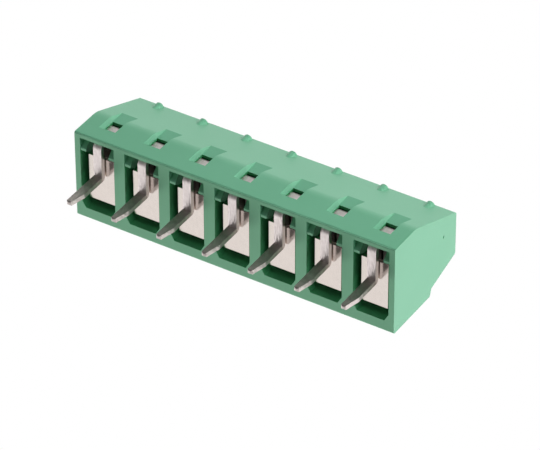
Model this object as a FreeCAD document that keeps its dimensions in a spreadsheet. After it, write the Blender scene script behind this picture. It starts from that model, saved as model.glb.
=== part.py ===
import FreeCAD, Part
import math
import os
import re

import Sketcher

# A seven pole screw terminal for a printed circuit board, of the lift clamp kind.
# Frame: +Z up from the board, pins down, wires go in at -Y, the row runs along X.
# The origin lies at board level, at the middle of the row, on the line of the pins.

# Driving sizes in millimetres
SIZES = [
    ("pole_count", 7, "poles in the row"),
    ("pole_pitch", 5.08, "distance between pins"),
    ("rear_reach", 4.7, "pin line to rear face"),
    ("front_reach", 5.2, "pin line to front face"),
    ("body_height", 11.43, "board face to top face"),
    ("kink_height", 3.8, "where the rear face starts to lean"),
    ("kink_radius", 3.0, "rounding of that line"),
    ("top_rear", 1.74, "pin line to rear edge of the top"),
    ("top_front", 3.08, "pin line to front edge of the top"),
    ("shelf_reach", 4.39, "pin line to root of the front slope"),
    ("shelf_height", 6.96, "root of the front slope"),
    ("front_height", 6.71, "height of the upright front wall"),
    ("edge_radius", 0.2, "moulded outer edges"),
    ("partition", 1.21, "wall between two poles"),
    ("rear_wall", 0.53, "rear wall at the board"),
    ("front_wall", 1.23, "front wall at the board"),
    ("corner_side", 0.45, "gusset in each front corner, along X"),
    ("corner_reach", 0.8, "gusset in each front corner, along Y"),
    ("corner_height", 1.0, "gusset above the board face"),
    ("crest_front", 2.72, "pin line to the crest of the rear corner ledges"),
    ("crest_flat", 0.26, "width of that crest"),
    ("crest_height", 0.06, "crest above the board face"),
    ("ledge_root", 0.8, "foot of the slope in front of the crest"),
    ("ledge_deep", 1.2, "where the slope behind the crest meets the rear wall"),
    ("bay_side_gap", 0.12, "contact leg to the sides of its bay"),
    ("bay_lead", 0.6, "where the bay narrows behind the leg"),
    ("bay_step", 0.09, "how far it narrows"),
    ("bar_gap", 0.15, "current bar to the roof of the bay"),
    ("recess_width", 1.85, "recess round the rear window"),
    ("recess_depth", 0.47, "depth of that recess"),
    ("recess_margin", 0.03, "floor of the recess beside the window"),
    ("recess_bottom", 1.85, "lower end of the recess"),
    ("recess_sill", 0.4, "sloped sill of the recess"),
    ("recess_end", 5.8, "where the recess runs out on the slope"),
    ("window_width", 1.24, "window to the contact leg"),
    ("window_top", 3.77, "upper edge of the window"),
    ("entry_flare", 0.6, "widening of the wire entry towards the front"),
    ("throat_gap", 0.1, "inner end of the wire entry inside the cage opening"),
    ("throat_sill", 0.5, "inner end of the wire entry above the floor of the open cage"),
    ("axis_shift", 0.67, "screw axis in front of the pin line"),
    ("well_gap", 0.12, "screw head to the bore that holds it"),
    ("lip_height", 0.5, "rim that keeps the screw in"),
    ("lip_cover", 0.18, "how far the rim covers the screw head"),
    ("lip_funnel", 0.22, "lead-in of the driver opening"),
    ("pip_radius", 0.475, "round pips under the rear top edge"),
    ("pip_proud", 0.45, "pip in front of the leaning face"),
    ("pip_drop", 0.45, "pip below the top face"),
    ("pip_length", 1.5, "length of the pip down to where it runs out"),
    ("strip_width", 0.92, "width of the contact strip and pin"),
    ("strip_thick", 0.5, "thickness of the contact strip"),
    ("foot_lift", 0.05, "contact strip above the board"),
    ("leg_gap", 0.03, "contact leg to the wall behind it"),
    ("leg_kink", 3.3, "where the contact leg leans forward"),
    ("leg_lean", 1.1, "how far it leans forward for each step up"),
    ("wide_from", 1.0, "where the contact leg widens"),
    ("bar_side_gap", 0.1, "current bar to the sides of the cage"),
    ("bar_inset", 0.62, "current bar behind the front of the cage"),
    ("bar_bottom", 4.2, "underside of the current bar"),
    ("bend_radius", 0.6, "outer radius of the strip's bends"),
    ("pin_thick", 0.5, "pin along Y"),
    ("pin_bend", 0.35, "outer radius of the bend above the pin"),
    ("pin_length", 4.7, "pin below the board face"),
    ("point_length", 1.8, "sloped side of the pin's point"),
    ("point_width", 0.5, "end of the point, along X"),
    ("point_bevel", 0.12, "bevel round the end of the point"),
    ("cage_side_gap", 0.245, "cage to the walls beside it"),
    ("cage_gap", 0.25, "cage to the walls before and behind it"),
    ("cage_wall", 0.42, "sheet of the cage"),
    ("cage_bottom", 1.1, "cage above the board when open"),
    ("cage_rear", 2.03, "cage behind the pin line"),
    ("cage_front", 3.42, "cage in front of the pin line"),
    ("shoulder_height", 1.5, "full length of the cage up to here"),
    ("neck_height", 2.7, "shorter cage from here"),
    ("neck_rear", 1.3, "upper cage behind the pin line"),
    ("neck_front", 2.7, "upper cage in front of the pin line"),
    ("cage_corner", 0.08, "outer bends of the cage"),
    ("flap_lift", 0.15, "folded flaps above the current bar when open"),
    ("flap_gap", 0.05, "between the two folded flaps"),
    ("flap_end_gap", 0.03, "lower flap to the side that it is folded towards"),
    ("closed_gap", 0.28, "left under the current bar when closed"),
    ("lift_gap", 0.2, "closed cage below the ceiling"),
    ("thread_side", 0.15, "screw hole to the inner sides of the cage"),
    ("thread_gap", 0.05, "running gap of the screw in that hole"),
    ("tip_gap", 0.02, "screw end to current bar"),
    ("point_chamfer", 0.35, "cone round the end of the screw"),
    ("head_side_gap", 0.155, "screw head to the walls as it goes in from below"),
    ("head_height", 1.45, "height of the screw head"),
    ("head_gap", 0.08, "screw head below the rim of its bore"),
    ("slot_width", 0.62, "driver slot"),
    ("slot_depth", 0.85, "depth of the driver slot"),
    ("slot_turn", 47, "degrees from one screw's slot to the next"),
    ("mark_radius", 0.15, "round mark on the end face"),
    ("mark_depth", 0.05, "depth of that mark"),
    ("mark_reach", 0.36, "pin line to that mark"),
    ("mark_height", 9.02, "that mark above the board face"),
]
NAMES = {name for name, number, meaning in SIZES}

# Places that more than one piece uses, as formulas of those sizes
HALF_CELL = "((pole_pitch - partition) / 2)"
LEAN = "((rear_reach - top_rear) / (body_height - kink_height))"
RIM_REAR = "(rear_reach - rear_wall)"
RIM_FRONT = "(front_reach - front_wall)"
BAY_REAR = "(rear_reach - rear_wall - bay_step)"
LEG_REAR = f"({BAY_REAR} - leg_gap)"
BAR_TOP = "(bar_bottom + strip_thick)"
CAGE_HALF = f"({HALF_CELL} - cage_side_gap)"
CAGE_INSIDE = f"({CAGE_HALF} - cage_wall)"
BAR_HALF = f"({CAGE_INSIDE} - bar_side_gap)"
FLAP_LOW = f"({BAR_TOP} + flap_lift)"
CAGE_TOP = f"({FLAP_LOW} + 2 * cage_wall + flap_gap)"
LIFT = "(bar_bottom - cage_bottom - cage_wall - closed_gap)"
LIFT_ROOM = f"({LIFT} + lift_gap)"
THREAD = f"({CAGE_INSIDE} - thread_side)"
HEAD_HALF = f"({HALF_CELL} - head_side_gap)"
HEAD_TOP = "(body_height - lip_height - head_gap)"
FIRST_POLE = "-(pole_count - 1) / 2 * pole_pitch"

doc = FreeCAD.newDocument("ScrewTerminal")
sheet = doc.addObject("Spreadsheet::Sheet", "Sizes")
for row, (name, number, meaning) in enumerate(SIZES, start=1):
    sheet.set("A%d" % row, name)
    sheet.set("B%d" % row, str(number))
    sheet.set("C%d" % row, meaning)
    sheet.setAlias("B%d" % row, name)
reader = doc.addObject("App::FeaturePython", "Reader")
reader.addProperty("App::PropertyFloat", "Number")
doc.recompute()


def formula(text):
    """Put the sheet's name before each size that the text names."""
    return re.sub(r"[a-z]\w*", lambda word: ("Sizes." if word[0] in NAMES else "") + word[0], text)


def bind(thing, path, text):
    thing.setExpression(path, formula(text))


def value(text):
    """The number that a formula gives with the sizes of the sheet."""
    bind(reader, "Number", text)
    reader.recompute()
    return reader.Number


# Sketches
def origin_part(body, role):
    return [part for part in body.Origin.OriginFeatures if part.Role == role][0]


def new_sketch(body, plane, lift):
    """A sketch on an origin plane of its own body, lifted along the plane's normal."""
    sketch = body.newObject("Sketcher::SketchObject", body.Name + "Sketch")
    sketch.AttachmentSupport = [(origin_part(body, plane), "")]
    sketch.MapMode = "FlatFace"
    bind(sketch, "AttachmentOffset.Base.z", lift)
    return sketch


def place_point(sketch, line, end, across, up):
    """Tie one end of a line to the sketch's axes by two formulas."""
    for kind, text, axis in (("DistanceX", across, -2), ("DistanceY", up, -1)):
        if text == "0":
            sketch.addConstraint(Sketcher.Constraint("PointOnObject", line, end, axis))
            continue
        number = sketch.addConstraint(Sketcher.Constraint(kind, -1, 1, line, end, value(text)))
        bind(sketch, "Constraints[%d]" % number, text)


def polygon(body, plane, points, lift="0"):
    """A closed outline whose corners are pairs of formulas."""
    sketch = new_sketch(body, plane, lift)
    corners = [FreeCAD.Vector(value(across), value(up), 0) for across, up in points]
    count = len(corners)
    for line in range(count):
        sketch.addGeometry(Part.LineSegment(corners[line], corners[(line + 1) % count]), False)
    for line in range(count):
        sketch.addConstraint(Sketcher.Constraint("Coincident", line, 2, (line + 1) % count, 1))
    for line, (across, up) in enumerate(points):
        place_point(sketch, line, 1, across, up)
    return sketch


def rectangle(body, plane, left, right, low, high, lift="0"):
    return polygon(body, plane, [(left, low), (right, low), (right, high), (left, high)], lift)


def circle(body, plane, across, up, radius, lift="0"):
    sketch = new_sketch(body, plane, lift)
    centre = FreeCAD.Vector(value(across), value(up), 0)
    sketch.addGeometry(Part.Circle(centre, FreeCAD.Vector(0, 0, 1), value(radius)), False)
    number = sketch.addConstraint(Sketcher.Constraint("Radius", 0, value(radius)))
    bind(sketch, "Constraints[%d]" % number, radius)
    place_point(sketch, 0, 3, across, up)
    return sketch


# Features, each of which has to add or remove material
def volume_of(body):
    doc.recompute()
    return body.Shape.Volume if body.Tip else 0.0


def pad(body, sketch, length, back="0"):
    """Material from the sketch along its normal, and back behind it where stated."""
    before = volume_of(body)
    feature = body.newObject("PartDesign::Pad", body.Name + "Pad")
    feature.Profile = sketch
    if back != "0":
        feature.SideType = "Two sides"
        bind(feature, "Length2", back)
    bind(feature, "Length", length)
    if volume_of(body) <= before:
        raise RuntimeError(feature.Name + " adds nothing")
    return feature


def pocket(body, sketch, length):
    """A cut to both sides of the sketch, of this length in all."""
    before = volume_of(body)
    feature = body.newObject("PartDesign::Pocket", body.Name + "Pocket")
    feature.Profile = sketch
    feature.SideType = "Symmetric"
    bind(feature, "Length", length)
    if volume_of(body) >= before:
        raise RuntimeError(feature.Name + " cuts nothing")
    return feature


def loft_cut(body, sections):
    """A cut with flat sides from each sketch to the next."""
    before = volume_of(body)
    feature = body.newObject("PartDesign::SubtractiveLoft", body.Name + "Loft")
    feature.Profile = sections[0]
    feature.Sections = sections[1:]
    feature.Ruled = True
    if volume_of(body) >= before:
        raise RuntimeError(feature.Name + " cuts nothing")
    return feature


def turn(body, kind, profile):
    """A full turn of the profile about the sketch's upright axis, added or cut away."""
    before = volume_of(body)
    feature = body.newObject("PartDesign::" + kind, body.Name + kind)
    feature.Profile = profile
    feature.ReferenceAxis = (profile, ["V_Axis"])
    feature.Angle = 360
    if (volume_of(body) > before) != (kind == "Revolution"):
        raise RuntimeError(feature.Name + " changes nothing")
    return feature


def round_edges(body, radius, chosen):
    """Round the edges of the body's last feature that a test on each edge picks out."""
    base = body.Tip
    names = ["Edge%d" % place for place, edge in enumerate(base.Shape.Edges, start=1) if chosen(edge)]
    if not names:
        raise RuntimeError(body.Name + " has no such edge to round")
    feature = body.newObject("PartDesign::Fillet", body.Name + "Fillet")
    feature.Base = (base, names)
    bind(feature, "Radius", radius)
    doc.recompute()
    return feature


def new_body(label):
    body = doc.addObject("PartDesign::Body", label)
    body.Label = label
    return body


def edge_at(places, first, second, along):
    """A test for straight edges along one axis that pass the given places in its normal plane."""
    spots = [(value(one), value(other)) for one, other in places]

    def test(edge):
        if edge.Curve.TypeId != "Part::GeomLine" or abs(abs(edge.tangentAt(0)[along]) - 1) > 1e-6:
            return False
        middle = edge.CenterOfMass
        return any(math.hypot(middle[first] - one, middle[second] - other) < 1e-4 for one, other in spots)
    return test


# The housing is one moulding, modelled with its first pole at x = 0
def make_housing():
    body = new_body("housing")
    outline = polygon(body, "YZ_Plane", [
        ("rear_reach", "0"),
        ("rear_reach", "kink_height"),
        ("top_rear", "body_height"),
        ("-top_front", "body_height"),
        ("-shelf_reach", "shelf_height"),
        ("-front_reach", "front_height"),
        ("-front_reach", "0")])
    pad(body, outline, "(pole_count - 0.5) * pole_pitch", "pole_pitch / 2")
    round_edges(body, "kink_radius", edge_at([("rear_reach", "kink_height")], 1, 2, 0))
    round_edges(body, "edge_radius", long_edge)
    mark = circle(body, "YZ_Plane", "mark_reach", "mark_height", "mark_radius", "-pole_pitch / 2")
    pocket(body, mark, "2 * mark_depth")
    cell = [
        clamp_space(body), corner_gusset(body, ""), corner_gusset(body, "-"), leg_bay(body),
        rear_recess(body), leg_window(body), wire_entry(body), screw_well(body), pip(body)]
    before = volume_of(body)
    row = body.newObject("PartDesign::LinearPattern", "HousingPoles")
    row.Originals = cell
    row.Direction = (origin_part(body, "X_Axis"), [""])
    row.Mode = "Spacing"
    bind(row, "Offset", "pole_pitch")
    bind(row, "Occurrences", "pole_count")
    body.Tip = row
    if volume_of(body) >= before:
        raise RuntimeError("the poles of the housing were not repeated")
    bind(body, "Placement.Base.x", FIRST_POLE)
    return body


def long_edge(edge):
    """The edges along the row, apart from those where the kink's rounding meets the rear faces."""
    middle = edge.CenterOfMass
    on_kink = middle.y > 0 and abs(middle.z - value("kink_height")) < value("kink_radius")
    return edge.Length > value("body_height") * 2 and not on_kink


def clamp_space(body):
    """Open to the board: room for the cage to rise, with crested ledges at the rear."""
    shoulder = f"cage_bottom + shoulder_height + {LIFT_ROOM}"
    neck = f"cage_bottom + neck_height + {LIFT_ROOM}"
    ceiling = f"{CAGE_TOP} + {LIFT_ROOM}"
    outline = polygon(body, "YZ_Plane", [
        (f"-{RIM_FRONT}", "0"),
        (f"-{RIM_FRONT}", shoulder),
        ("-(neck_front + cage_gap)", neck),
        ("-(neck_front + cage_gap)", ceiling),
        ("neck_rear + cage_gap", ceiling),
        ("neck_rear + cage_gap", neck),
        ("cage_rear + cage_gap", shoulder),
        ("cage_rear + cage_gap", "ledge_root"),
        ("crest_front", "crest_height"),
        ("crest_front + crest_flat", "crest_height"),
        (RIM_REAR, "ledge_deep"),
        (RIM_REAR, "0")])
    return pocket(body, outline, "2 * " + HALF_CELL)


def corner_gusset(body, side):
    """A gusset stiffens each front corner of the opening and leaves the cage room to pass."""
    outline = polygon(body, "XY_Plane", [
        (f"{side}({HALF_CELL} - corner_side)", f"-{RIM_FRONT}"),
        (f"{side}{HALF_CELL}", f"-{RIM_FRONT}"),
        (f"{side}{HALF_CELL}", f"-({RIM_FRONT} - corner_reach)")])
    return pad(body, outline, "corner_height")


def leg_bay(body):
    """A bay between the ledges takes the contact's leg; its roof follows the lean."""
    roof = f"{BAR_TOP} + bar_gap"
    outline = polygon(body, "YZ_Plane", [
        ("cage_rear", "0"),
        (RIM_REAR, "0"),
        (RIM_REAR, "bay_lead"),
        (BAY_REAR, "bay_lead + bay_step"),
        (BAY_REAR, "leg_kink"),
        (f"{BAY_REAR} - {LEAN} * ({roof} - leg_kink)", roof),
        ("cage_rear", roof)])
    return pocket(body, outline, f"2 * ({BAR_HALF} + bay_side_gap)")


def rear_recess(body):
    """The recess round the window has sloped sides and sill and runs out on the leaning face."""
    floor = "(rear_reach - recess_depth)"
    half = "(window_width / 2 + recess_margin)"
    slope = f"((recess_width / 2 - {half}) / recess_depth)"
    levels = [
        ("recess_bottom", "rear_reach", "recess_width / 2"),
        ("recess_bottom + recess_sill", floor, half),
        ("window_top", floor, half),
        ("recess_end", f"(rear_reach - (recess_end - kink_height) * {LEAN})", "recess_width / 2")]
    sections = []
    for level, inner, narrow in levels:
        outer = f"{inner} + 2 * recess_depth"
        wide = f"({narrow} + 2 * recess_depth * {slope})"
        sections.append(polygon(body, "XY_Plane", [
            (f"-{narrow}", inner), (narrow, inner), (wide, outer), (f"-{wide}", outer)], level))
    return loft_cut(body, sections)


def leg_window(body):
    """The window through the recess shows the leg, with a dark gap above its bend."""
    outline = rectangle(body, "YZ_Plane", f"{LEG_REAR} - strip_thick", "rear_reach",
                        "recess_bottom + recess_sill", "window_top")
    return pocket(body, outline, "window_width")


def wire_entry(body):
    """A funnel leads the wire through the front wall into the open cage."""
    half = f"({CAGE_INSIDE} - throat_gap)"
    low = "(cage_bottom + cage_wall + throat_sill)"
    high = "(bar_bottom - throat_gap)"
    mouth = rectangle(body, "XZ_Plane", f"-({half} + entry_flare)", f"{half} + entry_flare",
                      f"{low} - entry_flare", f"{high} + entry_flare", "front_reach")
    throat = rectangle(body, "XZ_Plane", f"-{half}", half, low, high, "cage_front")
    return loft_cut(body, [mouth, throat])


def screw_well(body):
    """The bore for the screw head, closed above by a rim with a conical opening."""
    bore = f"({HEAD_HALF} + well_gap)"
    opening = f"({HEAD_HALF} - lip_cover)"
    profile = polygon(body, "XZ_Plane", [
        ("0", FLAP_LOW),
        (bore, FLAP_LOW),
        (bore, "body_height - lip_height"),
        (opening, "body_height - lip_height"),
        (opening, "body_height - lip_funnel"),
        (f"{opening} + lip_funnel", "body_height"),
        ("0", "body_height")], "axis_shift")
    return turn(body, "Groove", profile)


def pip(body):
    """An upright round pip under the top edge runs out on the leaning rear face."""
    top = "(body_height - pip_drop)"
    centre = f"rear_reach - ({top} - kink_height) * {LEAN} + pip_proud - pip_radius"
    profile = polygon(body, "XZ_Plane", [
        ("0", f"{top} - pip_length"),
        ("pip_radius", f"{top} - pip_length"),
        ("pip_radius", top),
        ("0", top)], f"-({centre})")
    return turn(body, "Revolution", profile)


# Each contact is one strip: current bar in the cage, leaning leg, foot and solder pin
def make_contact(label):
    body = new_body(label)
    slant = "sqrt(1 + leg_lean ^ 2)"
    bar_front = "-(cage_front - bar_inset)"
    outer_bend = f"{LEG_REAR} - leg_lean * ({BAR_TOP} - leg_kink)"
    inner_bend = f"{LEG_REAR} - strip_thick * {slant} - leg_lean * (bar_bottom - leg_kink)"
    inner_kink = f"leg_kink - strip_thick * ({slant} - 1) / leg_lean"
    upper = [
        (LEG_REAR, "leg_kink"),
        (outer_bend, BAR_TOP),
        (bar_front, BAR_TOP),
        (bar_front, "bar_bottom"),
        (inner_bend, "bar_bottom"),
        (f"{LEG_REAR} - strip_thick", inner_kink)]
    wide = polygon(body, "YZ_Plane", [
        (f"{LEG_REAR} - strip_thick", "wide_from"), (LEG_REAR, "wide_from")] + upper)
    pad(body, wide, BAR_HALF, BAR_HALF)
    strip = polygon(body, "YZ_Plane", [
        ("pin_thick / 2", "-pin_length"),
        ("pin_thick / 2", "foot_lift"),
        (LEG_REAR, "foot_lift")] + upper + [
        (f"{LEG_REAR} - strip_thick", "foot_lift + strip_thick"),
        ("-pin_thick / 2", "foot_lift + strip_thick"),
        ("-pin_thick / 2", "-pin_length")])
    pad(body, strip, "strip_width / 2", "strip_width / 2")
    round_edges(body, "bend_radius", edge_at([
        (LEG_REAR, "foot_lift"), (LEG_REAR, "leg_kink"), (outer_bend, BAR_TOP)], 1, 2, 0))
    round_edges(body, "pin_bend", edge_at([("-pin_thick / 2", "foot_lift + strip_thick")], 1, 2, 0))
    cut_point(body)
    return body


def cut_point(body):
    """One slanting cut narrows the pin from the side, and a small bevel goes round its end."""
    wedge = polygon(body, "XZ_Plane", [
        ("-strip_width / 2", "-(pin_length - point_length)"),
        ("-strip_width", "-(pin_length - point_length)"),
        ("-strip_width", "-pin_length"),
        ("-(point_width - strip_width / 2)", "-pin_length")])
    pocket(body, wedge, "2 * pin_thick")
    low = value("-pin_length")
    base = body.Tip
    names = ["Edge%d" % place for place, edge in enumerate(base.Shape.Edges, start=1)
             if abs(edge.CenterOfMass.z - low) < 1e-4]
    bevel = body.newObject("PartDesign::Chamfer", body.Name + "Chamfer")
    bevel.Base = (base, names)
    bind(bevel, "Size", "point_bevel")
    doc.recompute()


# Each clamp is a cage folded from one plated strip, its two flaps lapped above the bar
def make_clamp(label):
    body = new_body(label)
    upper_flap = f"({CAGE_TOP} - cage_wall)"
    lower_flap = f"({FLAP_LOW} + cage_wall)"
    fold = polygon(body, "XZ_Plane", [
        (f"-{CAGE_HALF}", CAGE_TOP),
        (CAGE_HALF, CAGE_TOP),
        (CAGE_HALF, "cage_bottom"),
        (f"-{CAGE_HALF}", "cage_bottom"),
        (f"-{CAGE_HALF}", lower_flap),
        (f"{CAGE_INSIDE} - flap_end_gap", lower_flap),
        (f"{CAGE_INSIDE} - flap_end_gap", FLAP_LOW),
        (f"-{CAGE_INSIDE}", FLAP_LOW),
        (f"-{CAGE_INSIDE}", "cage_bottom + cage_wall"),
        (CAGE_INSIDE, "cage_bottom + cage_wall"),
        (CAGE_INSIDE, upper_flap),
        (f"-{CAGE_HALF}", upper_flap)], "-cage_rear")
    pad(body, fold, "cage_rear + cage_front")
    round_edges(body, "cage_corner", edge_at([
        (CAGE_HALF, CAGE_TOP), (CAGE_HALF, "cage_bottom"), (f"-{CAGE_HALF}", "cage_bottom")], 0, 2, 1))
    for side, full, short in (("", "cage_rear", "neck_rear"), ("-", "cage_front", "neck_front")):
        trim = polygon(body, "YZ_Plane", [
            (f"{side}{full}", "cage_bottom + shoulder_height"),
            (f"{side}{short}", "cage_bottom + neck_height"),
            (f"{side}{short}", f"{CAGE_TOP} + cage_wall"),
            (f"{side}({full} + cage_wall)", f"{CAGE_TOP} + cage_wall"),
            (f"{side}({full} + cage_wall)", "cage_bottom + shoulder_height")])
        pocket(body, trim, f"4 * {CAGE_HALF}")
    hole = circle(body, "XY_Plane", "0", "-axis_shift", THREAD, CAGE_TOP)
    pocket(body, hole, f"2 * ({CAGE_TOP} - {BAR_TOP})")
    return body


# Each screw is turned: point on the current bar, core of the thread, slotted head
def make_screw(label):
    body = new_body(label)
    core = f"({THREAD} - thread_gap)"
    foot = f"({BAR_TOP} + tip_gap)"
    profile = polygon(body, "XZ_Plane", [
        ("0", foot),
        (f"{core} - point_chamfer", foot),
        (core, f"{foot} + point_chamfer"),
        (core, f"{HEAD_TOP} - head_height"),
        (HEAD_HALF, f"{HEAD_TOP} - head_height"),
        (HEAD_HALF, HEAD_TOP),
        ("0", HEAD_TOP)])
    turn(body, "Revolution", profile)
    slot = rectangle(body, "XZ_Plane", "-slot_width / 2", "slot_width / 2",
                     f"{HEAD_TOP} - slot_depth", f"{HEAD_TOP} + slot_depth")
    pocket(body, slot, f"4 * {HEAD_HALF}")
    bind(body, "Placement.Base.y", "-axis_shift")
    return body


pieces = [make_housing()]
for pole in range(1, int(value("pole_count")) + 1):
    for name, make in (("contact", make_contact), ("clamp", make_clamp), ("screw", make_screw)):
        piece = make("%s_%d" % (name, pole))
        bind(piece, "Placement.Base.x", "%s + %d * pole_pitch" % (FIRST_POLE, pole - 1))
        pieces.append(piece)
    turned = FreeCAD.Rotation(FreeCAD.Vector(0, 0, 1), pole * value("slot_turn"))
    piece.Placement = FreeCAD.Placement(piece.Placement.Base, turned)
doc.recompute()

for thing in doc.Objects:
    if "Invalid" in thing.State or "Error" in thing.State:
        raise RuntimeError(thing.Name + " was not computed")
os.makedirs("parts", exist_ok=True)
for piece in pieces:
    if piece.Shape.isNull() or not piece.Shape.isValid():
        raise RuntimeError(piece.Label + " has no valid shape")
    if len(piece.Shape.Solids) != 1:
        raise RuntimeError(piece.Label + " is not one solid but %d" % len(piece.Shape.Solids))
    piece.Shape.exportStep("parts/%s.step" % piece.Label)
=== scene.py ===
import math

import bmesh
import bpy
from mathutils import Matrix, Vector


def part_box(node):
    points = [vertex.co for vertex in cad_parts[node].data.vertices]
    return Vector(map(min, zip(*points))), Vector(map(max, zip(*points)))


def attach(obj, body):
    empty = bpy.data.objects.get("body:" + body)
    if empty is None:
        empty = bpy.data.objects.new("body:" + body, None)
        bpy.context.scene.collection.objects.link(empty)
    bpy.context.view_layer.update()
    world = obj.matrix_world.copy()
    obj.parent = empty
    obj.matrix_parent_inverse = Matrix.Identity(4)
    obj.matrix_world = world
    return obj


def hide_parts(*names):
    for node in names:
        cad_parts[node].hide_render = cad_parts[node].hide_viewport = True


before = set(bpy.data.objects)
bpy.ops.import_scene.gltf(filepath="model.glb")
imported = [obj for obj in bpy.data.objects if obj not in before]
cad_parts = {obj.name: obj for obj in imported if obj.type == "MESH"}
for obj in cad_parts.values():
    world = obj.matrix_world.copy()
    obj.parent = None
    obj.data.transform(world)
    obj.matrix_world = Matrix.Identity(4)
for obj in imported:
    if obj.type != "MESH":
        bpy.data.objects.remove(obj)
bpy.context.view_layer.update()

# The housing is one injection moulding in green polyamide, open towards the board.
# Its walls meet in edges that the mould leaves slightly rounded, and its faces carry
# the fine even grain of a spark-eroded mould.
MM = 0.001


def srgb(code):
    """Linear colour of a hex code."""
    parts = [int(code[place:place + 2], 16) / 255 for place in (0, 2, 4)]
    linear = [part / 12.92 if part <= 0.04045 else ((part + 0.055) / 1.055) ** 2.4
              for part in parts]
    return linear + [1.0]


def add_node(tree, kind, links=(), **settings):
    """One shader node: its settings by name, its inputs by value or by another node's output."""
    node = tree.nodes.new(kind)
    for name, setting in settings.items():
        setattr(node, name, setting)
    for socket, source in links:
        if isinstance(source, bpy.types.NodeSocket):
            tree.links.new(source, node.inputs[socket])
        else:
            node.inputs[socket].default_value = source
    return node


def new_material(name):
    """An empty material and its tree."""
    material = bpy.data.materials.new(name)
    material.use_nodes = True
    material.node_tree.nodes.clear()
    return material, material.node_tree


def only(piece):
    """Select one object alone and make it the active one."""
    bpy.ops.object.select_all(action="DESELECT")
    piece.select_set(True)
    bpy.context.view_layer.objects.active = piece


# A bevel marks its new faces with this slot until they are blended with the flat ones
ROUNDED = 1


def softened(node, name, edge_mm, reshape=None):
    """A copy of a CAD node, its points moved by reshape where that is given, whose edges
    are rounded by a small bevel and whose faces stay flat up to it."""
    piece = bpy.data.objects.new(name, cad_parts[node].data.copy())
    bpy.context.scene.collection.objects.link(piece)
    piece.data.name = name
    only(piece)
    piece.data.materials.clear()
    bpy.ops.mesh.customdata_custom_splitnormals_clear()
    bpy.ops.object.mode_set(mode="EDIT")
    bpy.ops.mesh.select_mode(type="EDGE")
    bpy.ops.mesh.select_all(action="DESELECT")
    bpy.ops.mesh.select_non_manifold(extend=False)
    bpy.ops.mesh.mark_sharp()
    bpy.ops.mesh.select_all(action="SELECT")
    bpy.ops.mesh.remove_doubles(threshold=0.0005 * MM)
    bpy.ops.mesh.dissolve_limited(angle_limit=math.radians(0.5))
    bpy.ops.mesh.quads_convert_to_tris()
    bpy.ops.object.mode_set(mode="OBJECT")
    bpy.ops.object.shade_smooth(keep_sharp_edges=True)
    if reshape:
        for corner in piece.data.vertices:
            corner.co = reshape(corner.co)
    bevel = piece.modifiers.new("Edges", "BEVEL")
    bevel.width = edge_mm * MM
    bevel.segments = 2
    bevel.limit_method = "ANGLE"
    bevel.angle_limit = math.radians(25)
    bevel.material = ROUNDED
    bpy.ops.object.modifier_apply(modifier=bevel.name)
    rounded = bmesh.new()
    rounded.from_mesh(piece.data)
    for edge in rounded.edges:
        if any(face.material_index == ROUNDED for face in edge.link_faces):
            edge.smooth = True
    for face in rounded.faces:
        face.material_index = 0
    bmesh.ops.triangulate(rounded, faces=rounded.faces)
    rounded.to_mesh(piece.data)
    rounded.free()
    weighted = piece.modifiers.new("Flat faces", "WEIGHTED_NORMAL")
    weighted.weight = 100
    weighted.keep_sharp = True
    bpy.ops.object.modifier_apply(modifier=weighted.name)
    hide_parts(node)
    return piece


# The colour sockets of a Mix node, whose names its number sockets have too
MIX_A, MIX_B, MIX_RESULT = 6, 7, 2


def moulded_polyamide(name, deep, light, level):
    """Green glass-free polyamide between two tints that drift over a few millimetres.
    The eroded grain breaks its soft gloss up, so no edge of a lamp shows in it."""
    drift, grit = 6 * MM, 0.12 * MM
    material, tree = new_material(name)
    place = add_node(tree, "ShaderNodeTexCoord").outputs["Object"]
    clouds = add_node(tree, "ShaderNodeTexNoise", [
        ("Vector", place), ("Scale", 1 / drift), ("Detail", 3.0)])
    tint = add_node(tree, "ShaderNodeMix", [
        ("Factor", clouds.outputs["Fac"]), (MIX_A, srgb(deep)), (MIX_B, srgb(light))],
        data_type="RGBA")
    grain = add_node(tree, "ShaderNodeTexNoise", [
        ("Vector", place), ("Scale", 1 / grit), ("Detail", 2.0)])
    bump = add_node(tree, "ShaderNodeBump", [
        ("Height", grain.outputs["Fac"]), ("Strength", 0.25), ("Distance", 0.01 * MM)])
    shine = add_node(tree, "ShaderNodeMapRange", [
        ("Value", grain.outputs["Fac"]), ("To Min", 0.42), ("To Max", 0.55)])
    surface = add_node(tree, "ShaderNodeBsdfPrincipled", [
        ("Base Color", tint.outputs[MIX_RESULT]), ("Roughness", shine.outputs["Result"]),
        ("Normal", bump.outputs["Normal"]), ("IOR", 1.5), ("Specular IOR Level", level)])
    add_node(tree, "ShaderNodeOutputMaterial", [("Surface", surface.outputs["BSDF"])])
    return material


housing = softened("housing", "housing_moulding", 0.05)
# Outside, the eroded mould leaves a pale sheen on the green
housing.data.materials.append(
    moulded_polyamide("moulded green polyamide, eroded faces", "66B18A", "70B894", 0.9))
# Deep in the cells and the contact bays the green is darker and richer, with less sheen: painted
# shade where the light falls off
housing.data.materials.append(
    moulded_polyamide("moulded green polyamide, painted shade in the cells", "46A66C", "4DAB72", 0.3))
# The floors of the recesses by the windows are a darker green with less sheen: painted shade in
# the recesses
housing.data.materials.append(
    moulded_polyamide("moulded green polyamide, painted shade in the recesses", "5EA883", "67B18D", 0.6))
# The rounded outer edges round the board side are a much paler green: a painted highlight where
# the light catches them
housing.data.materials.append(
    moulded_polyamide("moulded green polyamide, painted edge highlight", "90DDB4", "9AE3BD", 0.9))
# Slots of the moulding: the eroded outside, then its copies with painted shade and with a painted
# edge highlight
ERODED, CELL_SHADE, RECESS_SHADE, EDGE_HIGHLIGHT = range(4)
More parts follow.
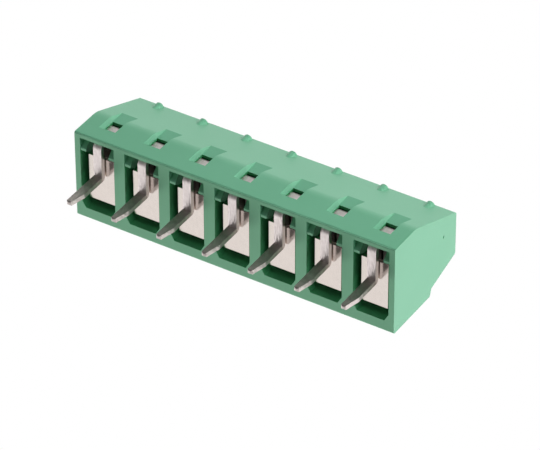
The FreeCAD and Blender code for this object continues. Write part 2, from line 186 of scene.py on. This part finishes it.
# Where the cells, the contact bays, the recesses by the windows and the rim lie, which take the
# painted shade and the painted edge highlight
PITCH = 5.08 * MM
CELL_SIDE = 2.25 * MM
CELL_DEPTH = (-4.75 * MM, 2.45 * MM)
CELL_HEIGHT = (0.12 * MM, 8.5 * MM)
FRONT_SLOPE = -2.5 * MM
BAY_SIDE = 1.6 * MM
BAY_FRONT = 2.4 * MM
BAY_STEP = 3.79 * MM
BAY_END_BELOW_STEP = 4.26 * MM
BAY_END_ABOVE_STEP = 3.6 * MM
BAY_HEIGHT = (2.0 * MM, 8.5 * MM)
REAR_FACE = 4.7 * MM
LEANS_FROM = 3.8 * MM
LEAN = 0.388
RECESS_SIDE = 1.3 * MM
RECESS_BEHIND = 3.8 * MM
RECESS_HEIGHT = (3.7 * MM, 7.0 * MM)
SUNK = 0.04 * MM
RIM_HEIGHT = 0.06 * MM
RIM_REAR = 4.6 * MM
RIM_FRONT = -5.1 * MM
RIM_END = 17.7 * MM


def within(value, limits):
    """Whether a value lies between two limits."""
    return limits[0] < value < limits[1]


def finish_or_painted_light(at, facing):
    """Which finish a face of the moulding has, from its middle and the way that it faces: the
    eroded outside, painted shade in the cells, the bays and the recesses, and a painted highlight
    on the rounded outer edges of the board side.
    The limits on where it faces are cosines."""
    beside = abs(at.x - PITCH * round(at.x / PITCH))
    in_cell = beside < CELL_SIDE and within(at.y, CELL_DEPTH) and within(at.z, CELL_HEIGHT)
    on_front_slope = facing.y < -0.3 and at.y < FRONT_SLOPE
    on_cell_wall = in_cell and facing.z < 0.7 and not on_front_slope
    bay_depth = (BAY_FRONT, BAY_END_BELOW_STEP if at.z < BAY_STEP else BAY_END_ABOVE_STEP)
    in_bay = beside < BAY_SIDE and within(at.y, bay_depth) and within(at.z, BAY_HEIGHT)
    on_bay_wall = in_bay and abs(facing.y) < 0.5 and facing.z < 0.5
    # Walls in the cells and the bays take the darker green of painted shade
    if on_cell_wall or on_bay_wall:
        return CELL_SHADE
    by_window = beside < RECESS_SIDE and at.y > RECESS_BEHIND and within(at.z, RECESS_HEIGHT)
    if by_window and facing.y > 0.93 and facing.z < 0.2:
        rear_face = REAR_FACE - max(0.0, at.z - LEANS_FROM) * LEAN
        # Sunk recess floors take the darker green of painted shade
        return RECESS_SHADE if at.y < rear_face - SUNK else ERODED
    outside = at.y > RIM_REAR or at.y < RIM_FRONT or abs(at.x) > RIM_END
    on_rim = at.z < RIM_HEIGHT and -0.95 < facing.z < -0.2
    # The rounded outer edges of the board side take the pale green of a painted highlight
    return EDGE_HIGHLIGHT if outside and on_rim else ERODED


for face in housing.data.polygons:
    face.material_index = finish_or_painted_light(face.center, face.normal)
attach(housing, "terminal_row")

# Each contact is stamped and bent from copper alloy strip: bar in the cage, leg behind it,
# foot and solder pin. It is tin plated after bending. Its leg leans forward just under the
# top of the rear window, a little higher than the solid's does.
POLES = 7
KINK_BEHIND = 3.5 * MM
KINK_HEIGHT = (3.0 * MM, 3.6 * MM)
KINK_LIFT = 0.20 * MM
PIN_TOP = -0.02 * MM


def plated_metal(name, pale, dark, roughness, wrinkle_mm, slant):
    """Plated metal: a film cloudy in patches, with fine wrinkles drawn out along the strip.
    The wrinkles are as steep as slant, and spread what the metal mirrors."""
    patch, drawn_out = 0.5 * MM, (1.0, 0.3, 0.3)
    material, tree = new_material(name)
    place = add_node(tree, "ShaderNodeTexCoord").outputs["Object"]
    patches = add_node(tree, "ShaderNodeTexNoise", [
        ("Vector", place), ("Scale", 1 / patch), ("Detail", 4.0)])
    tint = add_node(tree, "ShaderNodeMix", [
        ("Factor", patches.outputs["Fac"]), (MIX_A, srgb(dark)), (MIX_B, srgb(pale))],
        data_type="RGBA")
    drawn = add_node(tree, "ShaderNodeMapping", [("Vector", place), ("Scale", drawn_out)])
    wrinkles = add_node(tree, "ShaderNodeTexNoise", [
        ("Vector", drawn.outputs["Vector"]), ("Scale", 1 / (wrinkle_mm * MM)), ("Detail", 3.0)])
    bump = add_node(tree, "ShaderNodeBump", [
        ("Height", wrinkles.outputs["Fac"]), ("Strength", 1.0),
        ("Distance", slant * wrinkle_mm * MM)])
    shine = add_node(tree, "ShaderNodeMapRange", [
        ("Value", patches.outputs["Fac"]), ("To Min", roughness - 0.05),
        ("To Max", roughness + 0.08)])
    surface = add_node(tree, "ShaderNodeBsdfPrincipled", [
        ("Base Color", tint.outputs[MIX_RESULT]), ("Roughness", shine.outputs["Result"]),
        ("Normal", bump.outputs["Normal"]), ("Metallic", 1.0)])
    add_node(tree, "ShaderNodeOutputMaterial", [("Surface", surface.outputs["BSDF"])])
    return material


def kinked_higher(corner):
    """Where a point of the leg goes when its kink moves up."""
    at_kink = corner.y > KINK_BEHIND and within(corner.z, KINK_HEIGHT)
    return corner + Vector((0, 0, KINK_LIFT)) if at_kink else corner


# The tin film is soft and matt, a little warm, and keeps the fine wrinkles of the bending
matt_tin = plated_metal("matt tin plating", "FFF6F4", "DCD0CD", 0.38, 0.16, 0.40)
# The pins are a greyer, darker tin: painted shade for the dark that they mirror from under the
# housing
shaded_pin_tin = plated_metal("matt tin plating, painted shade on the pins", "E4DAD6", "ABA19D", 0.40, 0.16, 0.50)
for pole in range(1, POLES + 1):
    contact = softened("contact_%d" % pole, "contact_strip_%d" % pole, 0.04, kinked_higher)
    contact.data.materials.append(matt_tin)
    contact.data.materials.append(shaded_pin_tin)
    for face in contact.data.polygons:
        # Faces below the top of the pins take the darker tin of painted shade
        face.material_index = 1 if face.center.z < PIN_TOP else 0
    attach(contact, "terminal_row")

# Each clamp is a cage folded from steel strip, its two flaps lapped and tapped for
# the screw, and nickel plated all over in a barrel. Its floor hangs close above the
# foot of the contact, and it narrows towards it.
FLOOR_TOP = 1.62 * MM
FLOOR_DROP = 0.40 * MM
NARROWS_BELOW = 3.8 * MM
INNER_SIDE = 1.27 * MM
OUTER_SIDE = 1.69 * MM
SIDE_IN = 0.21 * MM
FRONT_EDGE = -2.6 * MM
FRONT_IN = 0.35 * MM
FLOOR_BELOW = 2 * MM


def narrowed(corner, middle):
    """Where a point goes when the floor comes down and the walls draw in from outside."""
    drop = (NARROWS_BELOW - corner.z) / (NARROWS_BELOW - FLOOR_TOP)
    share = min(1.0, max(0.0, drop))
    across = corner.x - middle
    outer = max(0.0, min(1.0, (abs(across) - INNER_SIDE) / (OUTER_SIDE - INNER_SIDE)))
    beside = math.copysign(outer, across)
    front = FRONT_IN if corner.y < FRONT_EDGE else 0.0
    return Vector((
        corner.x - SIDE_IN * beside * share, corner.y + front * share,
        corner.z - FLOOR_DROP * share))


# Nickel from the barrel is smooth and bright, almost a mirror
nickel = plated_metal("barrel nickel plating", "E8DED7", "DED3CC", 0.16, 0.30, 0.02)
# The inside faces of a cage are a dark, dull nickel: painted shade inside the cage, where little
# light reaches
shaded_nickel = plated_metal("nickel, painted shade inside", "787069", "5F5852", 0.34, 0.30, 0.05)
for pole in range(1, POLES + 1):
    low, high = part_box("clamp_%d" % pole)
    middle = (low[0] + high[0]) / 2
    cage = softened("clamp_%d" % pole, "clamp_cage_%d" % pole, 0.03,
                    lambda corner: narrowed(corner, middle))
    cage.data.materials.append(nickel)
    cage.data.materials.append(shaded_nickel)
    for face in cage.data.polygons:
        across = face.center.x - middle
        inner_side = face.normal.x * across < -0.5 * abs(across)
        floor_top = face.normal.z > 0.7 and face.center.z < FLOOR_BELOW
        # The inner sides and the top of the floor take the dark nickel of painted shade
        if inner_side or floor_top:
            face.material_index = 1
    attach(cage, "clamp_%d" % pole)

# Each screw is cold headed steel with a rolled thread of 0.45 mm pitch and a sawn driver
# slot, zinc plated and clear passivated. The thread runs from the point to the head.
THREAD_PITCH = 0.45 * MM
THREAD_CORE = 0.84 * MM
THREAD_CREST = 1.06 * MM
PLAIN_POINT = 0.35 * MM
HEAD_LENGTH = 1.45 * MM
STEPS_A_TURN = 22
# The ridge's section: how far out as a share of its height, and how far along in pitches
RIDGE = ((0.0, -0.44), (1.0, -0.09), (1.0, 0.09), (0.0, 0.44))
ROOT_SHARE = 0.97
# At each end the ridge stops short by part of a pitch, and it fades and thins towards there
PLAIN_END = 0.4
FADE_A_TURN = 2.5
THIN_END = 0.3


def wind_thread(piece, axis, low, high, core, crest, pitch):
    """A rolled thread wound as one closed ribbon round a screw's core, faded at both ends."""
    mesh = bmesh.new()
    mesh.from_mesh(piece.data)
    # The solid's plain shank shrinks to the core, so that the ridge stands out from it
    for corner in mesh.verts:
        across = Vector((corner.co.x - axis.x, corner.co.y - axis.y))
        on_shank = low - 0.3 * pitch < corner.co.z < high + 0.2 * pitch
        if core < across.length < crest + 0.1 * pitch and on_shank:
            across *= core / across.length
            corner.co.x, corner.co.y = axis.x + across.x, axis.y + across.y
    count = int((high - low - 2 * PLAIN_END * pitch) / pitch * STEPS_A_TURN)
    root = core * ROOT_SHARE
    rings = []
    for step in range(count + 1):
        turn = step / STEPS_A_TURN
        fade = min(1.0, FADE_A_TURN * turn, FADE_A_TURN * (count - step) / STEPS_A_TURN)
        height = low + PLAIN_END * pitch + turn * pitch
        angle = 2 * math.pi * turn
        ring = []
        for out, rise in RIDGE:
            radius = root + (crest - root) * out * fade
            ring.append(mesh.verts.new((
                axis.x + radius * math.cos(angle), axis.y + radius * math.sin(angle),
                height + rise * pitch * (THIN_END + (1 - THIN_END) * fade))))
        rings.append(ring)
    for one, two in zip(rings, rings[1:]):
        for side in range(len(RIDGE)):
            after = (side + 1) % len(RIDGE)
            mesh.faces.new((one[side], two[side], two[after], one[after]))
    mesh.faces.new(rings[0])
    mesh.faces.new(rings[-1][::-1])
    mesh.to_mesh(piece.data)
    mesh.free()
    only(piece)
    bpy.ops.object.mode_set(mode="EDIT")
    bpy.ops.mesh.select_all(action="SELECT")
    bpy.ops.mesh.quads_convert_to_tris()
    bpy.ops.mesh.normals_make_consistent(inside=False)
    bpy.ops.object.mode_set(mode="OBJECT")
    bpy.ops.object.shade_smooth_by_angle(angle=math.radians(32))


# Clear passivated zinc is bluish, and not as bright as the nickel of the cages
zinc = plated_metal("clear zinc plating", "D2D4D6", "BFC2C6", 0.3, 0.10, 0.06)
for pole in range(1, POLES + 1):
    low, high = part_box("screw_%d" % pole)
    screw = softened("screw_%d" % pole, "clamp_screw_%d" % pole, 0.06)
    axis = Vector(((low[0] + high[0]) / 2, (low[1] + high[1]) / 2))
    wind_thread(screw, axis, low[2] + PLAIN_POINT, high[2] - HEAD_LENGTH,
                THREAD_CORE, THREAD_CREST, THREAD_PITCH)
    screw.data.materials.append(zinc)
    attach(screw, "screw_%d" % pole)

# The part stands on the tips of its pins on a plain pale floor. The photograph looks
# up at the board side, so the floor is clear from below and pale from above.
PIN_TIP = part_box("contact_1")[0][2]
FLOOR_GAP = 0.02 * MM
FLOOR_SIZE = 2.0
WHITE = (1, 1, 1, 1)
bpy.ops.object.select_all(action="DESELECT")
bpy.ops.mesh.primitive_grid_add(
    x_subdivisions=8, y_subdivisions=8, size=FLOOR_SIZE, location=(0, 0, PIN_TIP - FLOOR_GAP))
floor = bpy.context.active_object
floor.name = "floor"
# Painted board is matt, and seen from above it fades into the white of the background with
# the distance from the part, in metres, while the part's own shadow stays on it
pale, tree = new_material("pale matt board")
from_below = add_node(tree, "ShaderNodeNewGeometry").outputs["Backfacing"]
clear = add_node(tree, "ShaderNodeBsdfTransparent")
matt = add_node(tree, "ShaderNodeBsdfDiffuse", [("Color", srgb("F4F4F4"))])
away = add_node(tree, "ShaderNodeVectorMath", [
    (0, add_node(tree, "ShaderNodeTexCoord").outputs["Object"])], operation="LENGTH")
fade = add_node(tree, "ShaderNodeMapRange", [
    ("Value", away.outputs["Value"]), ("From Min", 0.06), ("From Max", 0.30),
    ("To Min", 0.28), ("To Max", 1.0)])
seen_white = add_node(tree, "ShaderNodeEmission", [
    ("Color", WHITE), ("Strength", fade.outputs["Result"])])
pale_top = add_node(tree, "ShaderNodeAddShader", [
    (0, matt.outputs["BSDF"]), (1, seen_white.outputs["Emission"])])
mixed = add_node(tree, "ShaderNodeMixShader", [
    ("Fac", from_below), (1, pale_top.outputs["Shader"]), (2, clear.outputs["BSDF"])])
add_node(tree, "ShaderNodeOutputMaterial", [("Surface", mixed.outputs["Shader"])])
floor.data.materials.append(pale)
floor.visible_shadow = False
floor.visible_diffuse = False
floor.visible_glossy = False

# A white studio: the background is white where it is seen. What the glossy faces mirror is
# brightest on the side that the wires come from, as over a white table, and dark towards
# the board side and the rear. Soft lamps that aren't mirrored light the part evenly.
world = bpy.data.worlds.new("studio")
bpy.context.scene.world = world
world.use_nodes = True
tree = world.node_tree
tree.nodes.clear()
heading = add_node(tree, "ShaderNodeTexCoord").outputs["Generated"]


def room_side(towards, low, high, dark, bright):
    """How bright the room is along one direction: dark below one cosine, bright above another."""
    facing = add_node(tree, "ShaderNodeVectorMath", [
        (0, heading), (1, Vector(towards).normalized())], operation="DOT_PRODUCT")
    return add_node(tree, "ShaderNodeMapRange", [
        ("Value", facing.outputs["Value"]), ("From Min", low), ("From Max", high),
        ("To Min", dark), ("To Max", bright)]).outputs["Result"]


table_side = room_side((0, -1, 0), -0.7, 0.7, 0.42, 1.2)
camera_side = room_side((-0.25, 0.55, -0.80), -0.85, 0.9, 1.7, 0.1)
room = add_node(tree, "ShaderNodeMath", [(0, table_side), (1, camera_side)], operation="MULTIPLY")
path = add_node(tree, "ShaderNodeLightPath")
seen = add_node(tree, "ShaderNodeMath", [
    (0, path.outputs["Is Camera Ray"]), (1, path.outputs["Is Transmission Ray"])],
    operation="MAXIMUM")
fill = add_node(tree, "ShaderNodeBackground", [("Color", WHITE), ("Strength", 0.05)])
mirror = add_node(tree, "ShaderNodeBackground", [
    ("Color", WHITE), ("Strength", room.outputs["Value"])])
white = add_node(tree, "ShaderNodeBackground", [("Color", WHITE), ("Strength", 1.0)])
shiny = add_node(tree, "ShaderNodeMixShader", [
    ("Fac", path.outputs["Is Glossy Ray"]), (1, fill.outputs["Background"]),
    (2, mirror.outputs["Background"])])
final = add_node(tree, "ShaderNodeMixShader", [
    ("Fac", seen.outputs["Value"]), (1, shiny.outputs["Shader"]),
    (2, white.outputs["Background"])])
add_node(tree, "ShaderNodeOutputWorld", [("Surface", final.outputs["Shader"])])
LAMP_SIZE = 0.2


def soft_lamp(name, place, power, tone="FFFFFF"):
    """A square area lamp that faces the part and isn't mirrored in it."""
    lamp = bpy.data.lights.new(name, "AREA")
    lamp.shape = "SQUARE"
    lamp.size = LAMP_SIZE
    lamp.energy = power
    lamp.color = srgb(tone)[:3]
    lit = bpy.data.objects.new(name, lamp)
    bpy.context.scene.collection.objects.link(lit)
    lit.location = place
    lit.rotation_euler = (-Vector(place)).to_track_quat("-Z", "Y").to_euler()
    lit.visible_glossy = False


soft_lamp("end lamp", (-0.34, 0.0, 0.0), 0.48)
soft_lamp("end rear lamp", (-0.24, 0.20, 0.14), 0.84)
soft_lamp("rear lamp", (0.02, 0.36, 0.0), 0.41)
soft_lamp("board side lamp", (0.15, -0.22, -0.25), 0.98, "FFF0EA")
soft_lamp("far end lamp", (0.34, -0.06, 0.10), 0.5)
soft_lamp("front lamp", (-0.06, -0.34, 0.14), 0.55)
soft_lamp("top lamp", (0.05, -0.12, 0.34), 0.35)

# The camera of the photograph, which looks at the board side and the rear face along
# the row: its place is in metres, and its axes are those of the fitted view.
camera = bpy.data.cameras.new("camera")
camera.sensor_width = 36
camera.lens = 280.3
camera.clip_start = 0.01
camera.clip_end = 10
view = bpy.data.objects.new("camera", camera)
bpy.context.scene.collection.objects.link(view)
right = Vector((-0.84916, -0.00264, 0.52812))
up = Vector((0.31672, 0.79766, 0.51324))
back = Vector((-0.42262, 0.60310, -0.67651))
place = Vector((-0.17052, 0.23954, -0.26621))
view.matrix_world = Matrix((
    (right.x, up.x, back.x, place.x),
    (right.y, up.y, back.y, place.y),
    (right.z, up.z, back.z, place.z),
    (0, 0, 0, 1)))
bpy.context.scene.camera = view
bpy.context.scene.view_settings.view_transform = "Standard"
